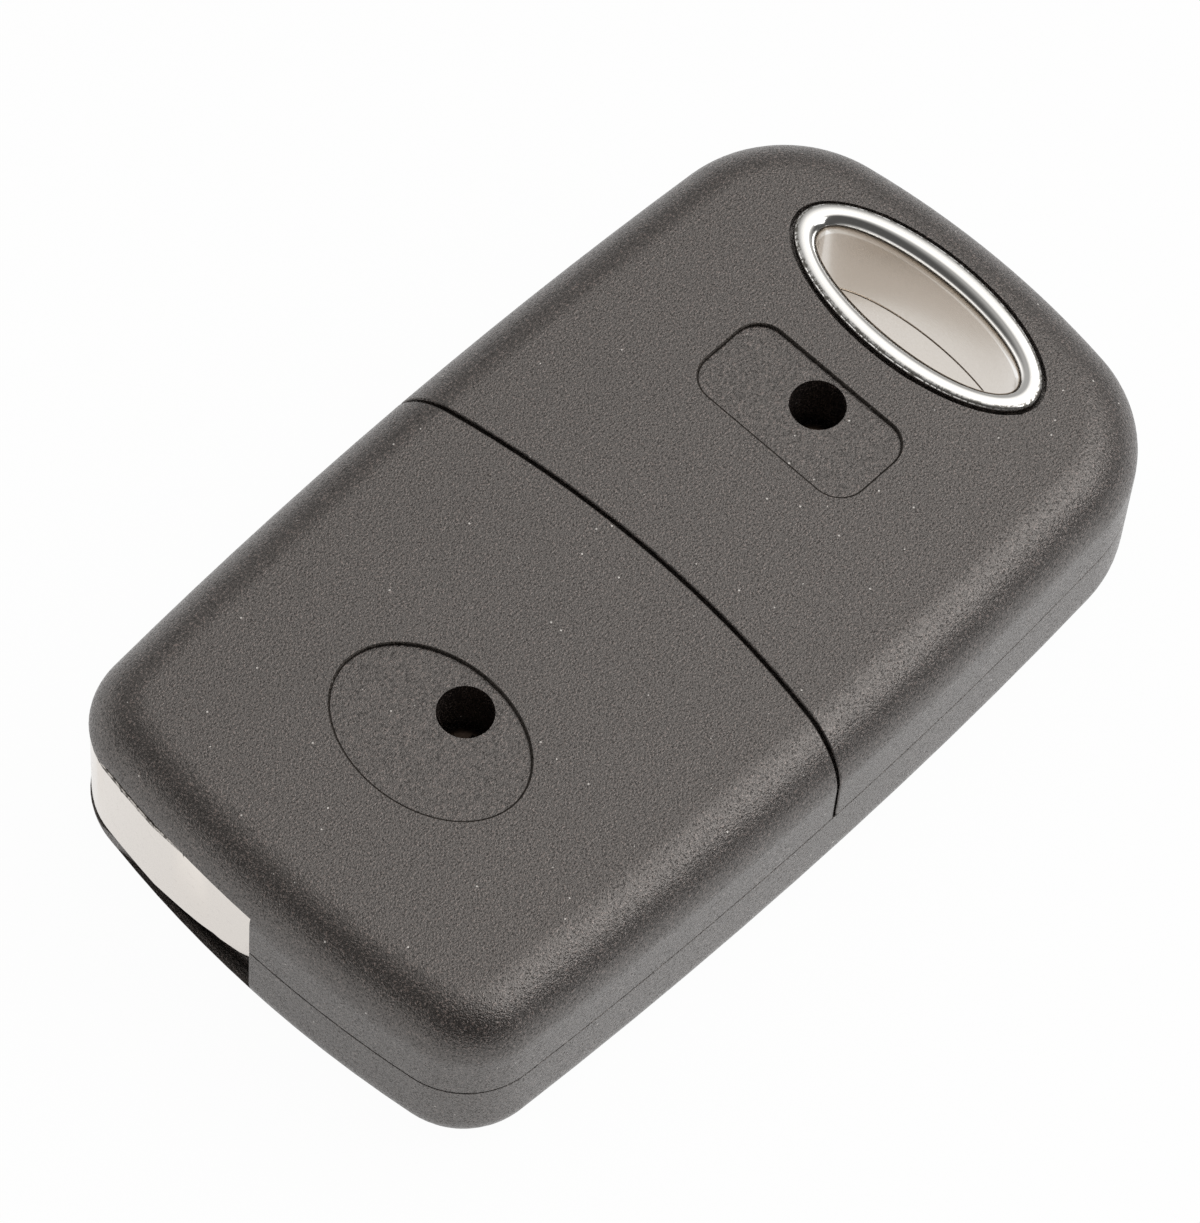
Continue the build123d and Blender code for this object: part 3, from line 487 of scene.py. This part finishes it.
def moulding(node, name, material, roundings):
    """A piece as its solid has it, with triangles joined and the edges in sight rounded."""
    piece = copy_of(node, name)
    alone(piece)
    bpy.ops.mesh.customdata_custom_splitnormals_clear()
    bpy.ops.object.mode_set(mode="EDIT")
    bpy.ops.mesh.select_all(action="SELECT")
    bpy.ops.mesh.remove_doubles(threshold=0.001 * MM)
    bpy.ops.mesh.dissolve_limited(angle_limit=math.radians(0.3))
    bpy.ops.object.mode_set(mode="OBJECT")
    for wanted, radius, steps, painted_shade in roundings:
        round_edges(piece, wanted, radius, steps, painted_shade)
    bpy.ops.object.shade_smooth_by_angle(angle=SHARP_ANGLE)
    weighted = piece.modifiers.new("flat faces stay flat", "WEIGHTED_NORMAL")
    weighted.keep_sharp = True
    bpy.ops.object.modifier_apply(modifier=weighted.name)
    return finished(piece, node, material)


def mark_shaded_edges(piece):
    """Marks the rounded edges around a piece's flat top and bottom, for painted shade on its
    plating.
    """
    marks = piece.data.attributes["painted_shade"]
    for face in piece.data.polygons:
        if 0.1 < abs(face.normal.z) < 0.97:
            marks.data[face.index].value = 1.0


# Which edges are rounded, their radius, the steps in them and how much painted shade darkens them
housing_roundings = (
    (at_seat, 0.17 * MM, 4, 1.0),
    (at_seam, 0.14 * MM, 4, 0.3),
    (clear_of_eye, 0.05 * MM, 2, 0.0),
)
for node in ("front_casing", "pivot_cover", "remote_cover"):
    moulding(node, node + "_moulding", casing_plastic, housing_roundings)

# the head's rounded edges are darkened with painted shade
head_roundings = ((clear_of_eye, 0.14 * MM, 3, 1.0),)
head = moulding("blade_head", "blade_head_casting", head_chrome, head_roundings)
mark_shaded_edges(head)


def eye_section(reach, height):
    """A half's section: up the tube, round the flange, over the rim and down to the groove.

    Each point says how far it lies outside the bore and how deep under the flange's face."""
    yield EYE_TUBE_WALL, height
    yield EYE_TUBE_WALL, EYE_FLANGE
    yield reach - EYE_FLANGE_CHAMFER, EYE_FLANGE
    yield reach, EYE_FLANGE - EYE_FLANGE_CHAMFER
    for inward, deep in EYE_RIM:
        yield reach - inward * MM, deep * MM
    yield 0.0, height - EYE_GROOVE_HEIGHT
    yield EYE_GROOVE_DEPTH, height - EYE_GROOVE_HEIGHT
    yield EYE_GROOVE_DEPTH, height


def eye_ring(node, name, side):
    """One plated half of the eye, drawn as ovals along its section.

    side is 1 for the half that shows on top and -1 for the half below."""
    low, high = (Vector(corner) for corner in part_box(node))
    face = high.z if side > 0 else low.z
    seam = low.z if side > 0 else high.z
    reach = ((high.x - low.x) / 2 - EYE_BORE[0], (high.y - low.y) / 2 - EYE_BORE[1])
    axis = (*middle_of(low, high), 0.0)
    section = list(eye_section(reach[0], abs(face - seam)))
    bpy.ops.object.select_all(action="DESELECT")
    bpy.ops.mesh.primitive_circle_add(vertices=EYE_SIDES, radius=1.0, location=axis)
    ring = bpy.context.object
    ring.name = name
    bpy.ops.object.transform_apply(location=True, rotation=True, scale=True)
    bpy.ops.object.mode_set(mode="EDIT")
    bpy.ops.mesh.select_all(action="SELECT")
    drawn = (1.0, 1.0)
    level = 0.0
    for count, (out, deep) in enumerate(section):
        if count:
            bpy.ops.mesh.extrude_edges_move()
        # the flange reaches a little further at the eye's two ends than beside it
        beyond = max(0.0, out - EYE_TUBE_WALL) / (reach[0] - EYE_TUBE_WALL)
        wanted = (EYE_BORE[0] + out, EYE_BORE[1] + out + beyond * (reach[1] - reach[0]))
        ratio = (wanted[0] / drawn[0], wanted[1] / drawn[1], 1.0)
        bpy.ops.transform.resize(value=ratio, center_override=axis)
        height = face - side * deep
        bpy.ops.transform.translate(value=(0, 0, height - level))
        drawn, level = wanted, height
    bpy.ops.mesh.select_all(action="DESELECT")
    bpy.ops.mesh.select_non_manifold()
    bpy.ops.mesh.bridge_edge_loops()
    bpy.ops.mesh.select_all(action="SELECT")
    bpy.ops.mesh.normals_make_consistent(inside=False)
    bpy.ops.object.mode_set(mode="OBJECT")
    # how far in mm each oval lies inside the flange's edge, for the plating's finish
    inward = ring.data.attributes.new("inward", "FLOAT", "POINT")
    for vertex in ring.data.vertices:
        out, deep = section[vertex.index // EYE_SIDES]
        inside = reach[0] - out + max(0.0, deep - EYE_FLANGE)
        inward.data[vertex.index].value = inside / MM
    alone(ring)
    bpy.ops.object.shade_smooth_by_angle(angle=SHARP_ANGLE)
    finished(ring, node, eye_chrome)


eye_ring("ring_upper", "eye_plating_upper", 1)
eye_ring("ring_lower", "eye_plating_lower", -1)


def hub_coil(node, name, joint):
    """The hub spring as its solid has it, in steel with its own mesh; how short the button's
    travel leaves it is worked out but not used.
    """
    coil = finished(copy_of(node, name), node, small_steel)
    low, high = (Vector(corner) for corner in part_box(node))
    travel = next(entry["range_m"][1] for entry in joints if entry["name"] == joint)
    shortest = 1 - travel / (high.z - low.z)
    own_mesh(coil)


hub_coil("hub_spring", "hub_spring_coil", "release_press")

# Pieces that show as their solids have them
for node, material in (
    ("key_blade", blade_steel),
    ("blade_pin", small_steel),
    ("release_button", button_chrome),
    ("spring_cap", cap_plastic),
    ("pivot_cover_screw", screw_steel),
    ("remote_cover_screw", screw_steel),
    ("button_pad", membrane_silicone),
    ("board_tray", tray_plastic),
    ("lock_key", key_rubber),
    ("unlock_key", key_rubber),
    ("boot_key", key_rubber),
):
    frame["nodes"][node].material_slots[0].material = material


def studio_floor():
    """Pale paper that shows white, takes the fob's shadow and is clear from below."""
    bpy.ops.object.select_all(action="DESELECT")
    bpy.ops.mesh.primitive_plane_add(size=FLOOR_SIZE, location=(0, 0, FLOOR_LEVEL))
    floor = bpy.context.object
    floor.name = "floor"
    finish = Finish("floor_paper", {"Roughness": 0.9, "Base Color": (0.9, 0.9, 0.9, 1)})
    rays = finish.tree.nodes.new("ShaderNodeLightPath")
    seen = Wire(finish, rays.outputs["Is Camera Ray"])
    mirrored = Wire(finish, rays.outputs["Is Glossy Ray"])
    through = Wire(finish, rays.outputs["Is Transmission Ray"])
    white = finish.node("ShaderNodeEmission", None, {"Color": (1, 1, 1, 1), "Strength": 1.0})
    painted = Wire(finish, finish.surface.outputs[0])
    # the paper as the fob mirrors it is duller in front of the pivot end: a painted shadow there
    along = finish.node("ShaderNodeSeparateXYZ", None, {0: finish.place()})
    in_mirror = along.above(-40.0 * MM, -20.0 * MM) * FLOOR_MIRRORED_BEYOND + FLOOR_MIRRORED
    share = seen * FLOOR_SEEN + mirrored * in_mirror + through * FLOOR_THROUGH
    above = finish.node("ShaderNodeMixShader", None, {0: share, 1: painted, 2: white})
    # nothing hides the fob from below
    behind = Wire(finish, finish.tree.nodes.new("ShaderNodeNewGeometry").outputs["Backfacing"])
    clear = finish.node("ShaderNodeBsdfTransparent")
    both = finish.node("ShaderNodeMixShader", None, {0: behind, 1: above, 2: clear})
    finish.feed(finish.tree.nodes["Material Output"].inputs["Surface"], both)
    floor.data.materials.append(finish.material)


def studio_world():
    """Soft surround: a pale dome on the far side, its bright core, and light along the horizon."""
    world = bpy.data.worlds.new("studio")
    bpy.context.scene.world = world
    world.use_nodes = True
    sky = Nodes(world.node_tree)
    place = sky.node("ShaderNodeTexCoord")
    height = sky.node("ShaderNodeSeparateXYZ", None, {0: place}, output=2)

    def facing(azimuth, elevation):
        values = {0: place, 1: direction(azimuth, elevation)}
        return sky.node("ShaderNodeVectorMath", {"operation": "DOT_PRODUCT"}, values, output=1)

    rim, heart = (math.cos(math.radians(angle)) for angle in DOME_REACH)
    dome = facing(*DOME_DIRECTION).above(rim, heart)
    band = (1 - height.above(*BAND_HEIGHT)) * facing(BAND_AZIMUTH, 0).above(-0.7, 0.9)
    rim, heart = (math.cos(math.radians(angle)) for angle in CORE_REACH)
    core = facing(*CORE_DIRECTION).above(rim, heart)
    level = dome * DOME_LEVEL + core * CORE_LEVEL + band * (1 - dome) * BAND_LEVEL + DIM_LEVEL
    values = {0: SURROUND_TINT, "Scale": level}
    tinted = sky.node("ShaderNodeVectorMath", {"operation": "SCALE"}, values)
    seen = sky.node("ShaderNodeLightPath")
    sky.feed(sky.tree.nodes["Background"].inputs[0], sky.mix(seen, tinted, (1, 1, 1, 1)))


def softbox(name, azimuth, elevation, distance, width, height, power):
    """Large soft lamp aimed at the fob."""
    lamp = bpy.data.lights.new(name, "AREA")
    lamp.shape = "RECTANGLE"
    lamp.size = width
    lamp.size_y = height
    lamp.energy = power
    holder = bpy.data.objects.new(name, lamp)
    bpy.context.scene.collection.objects.link(holder)
    holder.location = direction(azimuth, elevation) * distance
    holder.rotation_euler = direction(azimuth, elevation).to_track_quat("Z", "Y").to_euler()


# Studio: a pale floor, a soft surround and large lamps
studio_floor()
studio_world()
softbox(
    "top_softbox", azimuth=-8, elevation=56, distance=0.45, width=0.28, height=0.28, power=0.16
)
softbox(
    "right_softbox", azimuth=-60, elevation=45, distance=0.33, width=0.25, height=0.17, power=0.28
)

# Camera
towards = direction(CAMERA_AZIMUTH, CAMERA_ELEVATION)
forward = -towards
right = forward.cross(Vector((0, 0, 1))).normalized()
down = forward.cross(right)
roll = math.radians(CAMERA_ROLL)
image_x = right * math.cos(roll) + down * math.sin(roll)
image_down = down * math.cos(roll) - right * math.sin(roll)
camera_data = bpy.data.cameras.new("camera")
camera_data.sensor_width = SENSOR
camera_data.sensor_fit = "AUTO"
camera_data.lens = CAMERA_FOCUS_PIXELS * SENSOR / IMAGE_HEIGHT
camera_data.clip_start = CAMERA_NEAR
camera = bpy.data.objects.new("camera", camera_data)
bpy.context.scene.collection.objects.link(camera)
camera.matrix_world = Matrix((
    (image_x.x, -image_down.x, towards.x, CAMERA_TARGET[0] + towards.x * CAMERA_DISTANCE),
    (image_x.y, -image_down.y, towards.y, CAMERA_TARGET[1] + towards.y * CAMERA_DISTANCE),
    (image_x.z, -image_down.z, towards.z, CAMERA_TARGET[2] + towards.z * CAMERA_DISTANCE),
    (0, 0, 0, 1),
))
bpy.context.scene.camera = camera
bpy.context.scene.view_settings.view_transform = "Standard"
